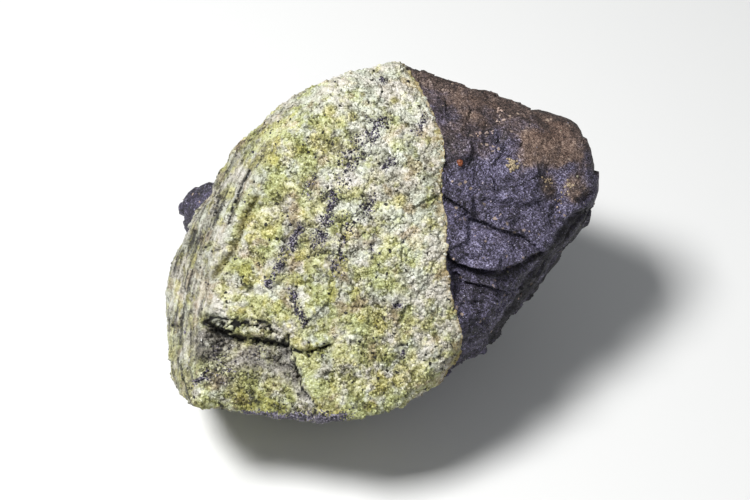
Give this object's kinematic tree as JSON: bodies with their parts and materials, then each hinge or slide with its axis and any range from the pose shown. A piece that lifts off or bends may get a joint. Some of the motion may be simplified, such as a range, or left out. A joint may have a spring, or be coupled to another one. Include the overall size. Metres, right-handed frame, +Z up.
{
  "type": "dunite nodule in basalt",
  "caption": "Broken hand-sized stone: a green granular nodule held in a dark basalt crust, with a ledge on its face and a small flat spot to rest on.",
  "frame": {"origin": "on the surface that the stone rests on, under the middle of its box", "axes": "+Z up, +X to the right along the stone's longest side, -Y towards the front, where the broken green face looks up and out"},
  "size_m": [0.1301, 0.1081, 0.0943],
  "materials": {
    "dunite": "sugary broken olivine rock, pale yellow-green with dark chromite streaks, glassy glints",
    "basalt": "fine-grained dark purple-grey lava, brown weathered skin on top, small pale and orange grains"
  },
  "bodies": {
    "root": {"dunite_nodule": "dunite", "basalt_crust": "basalt"}
  },
  "joints": []
}
